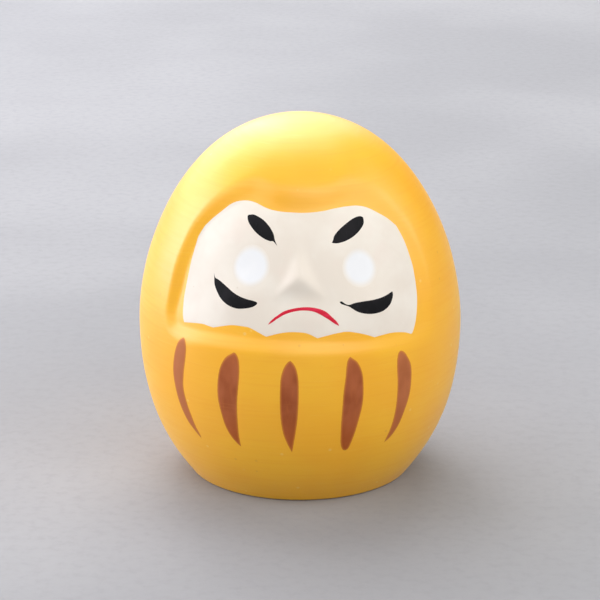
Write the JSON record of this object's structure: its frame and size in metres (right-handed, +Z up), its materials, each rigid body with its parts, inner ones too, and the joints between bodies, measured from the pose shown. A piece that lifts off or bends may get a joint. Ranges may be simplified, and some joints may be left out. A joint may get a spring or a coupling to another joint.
{
  "type": "daruma doll",
  "caption": "Small egg-shaped daruma doll with a hollowed painted face and brushed robe stripes, a weighted papier-mache tumbler that stands on a flat base.",
  "frame": {"origin": "middle of the flat base, on the surface the doll stands on", "axes": "+Z up through the crown, -Y the way the face looks, +X to the right of a person who faces the doll"},
  "size_m": [0.0502, 0.0505, 0.0564],
  "materials": {
    "paper": "moulded layers of paper, matte, faintly fibrous",
    "washi": "thin pasted paper strip, matte",
    "clay": "dry unfired clay, matte",
    "card": "grey-brown card, matte",
    "robe_paint": "yellow paint over a chalk ground, satin-matte with fine level brush marks",
    "face_paint": "warm cream paint, matte",
    "white_paint": "soft white paint",
    "ink": "blue-black paint with a slight sheen",
    "red_paint": "crimson paint",
    "stripe_paint": "thin reddish-brown paint, slightly translucent"
  },
  "bodies": {
    "root": {"shell_front": "paper", "shell_rear": "paper", "seam_strip_left": "washi", "seam_strip_right": "washi", "base_weight": "clay", "base_disc": "card", "robe_coat": "robe_paint", "face_coat": "face_paint", "eye_white_left": "white_paint", "eye_white_right": "white_paint", "brow_left": "ink", "brow_right": "ink", "whisker_left": "ink", "whisker_right": "ink", "mouth": "red_paint", "robe_stripe_1": "stripe_paint", "robe_stripe_2": "stripe_paint", "robe_stripe_3": "stripe_paint", "robe_stripe_4": "stripe_paint", "robe_stripe_5": "stripe_paint"}
  },
  "joints": []
}
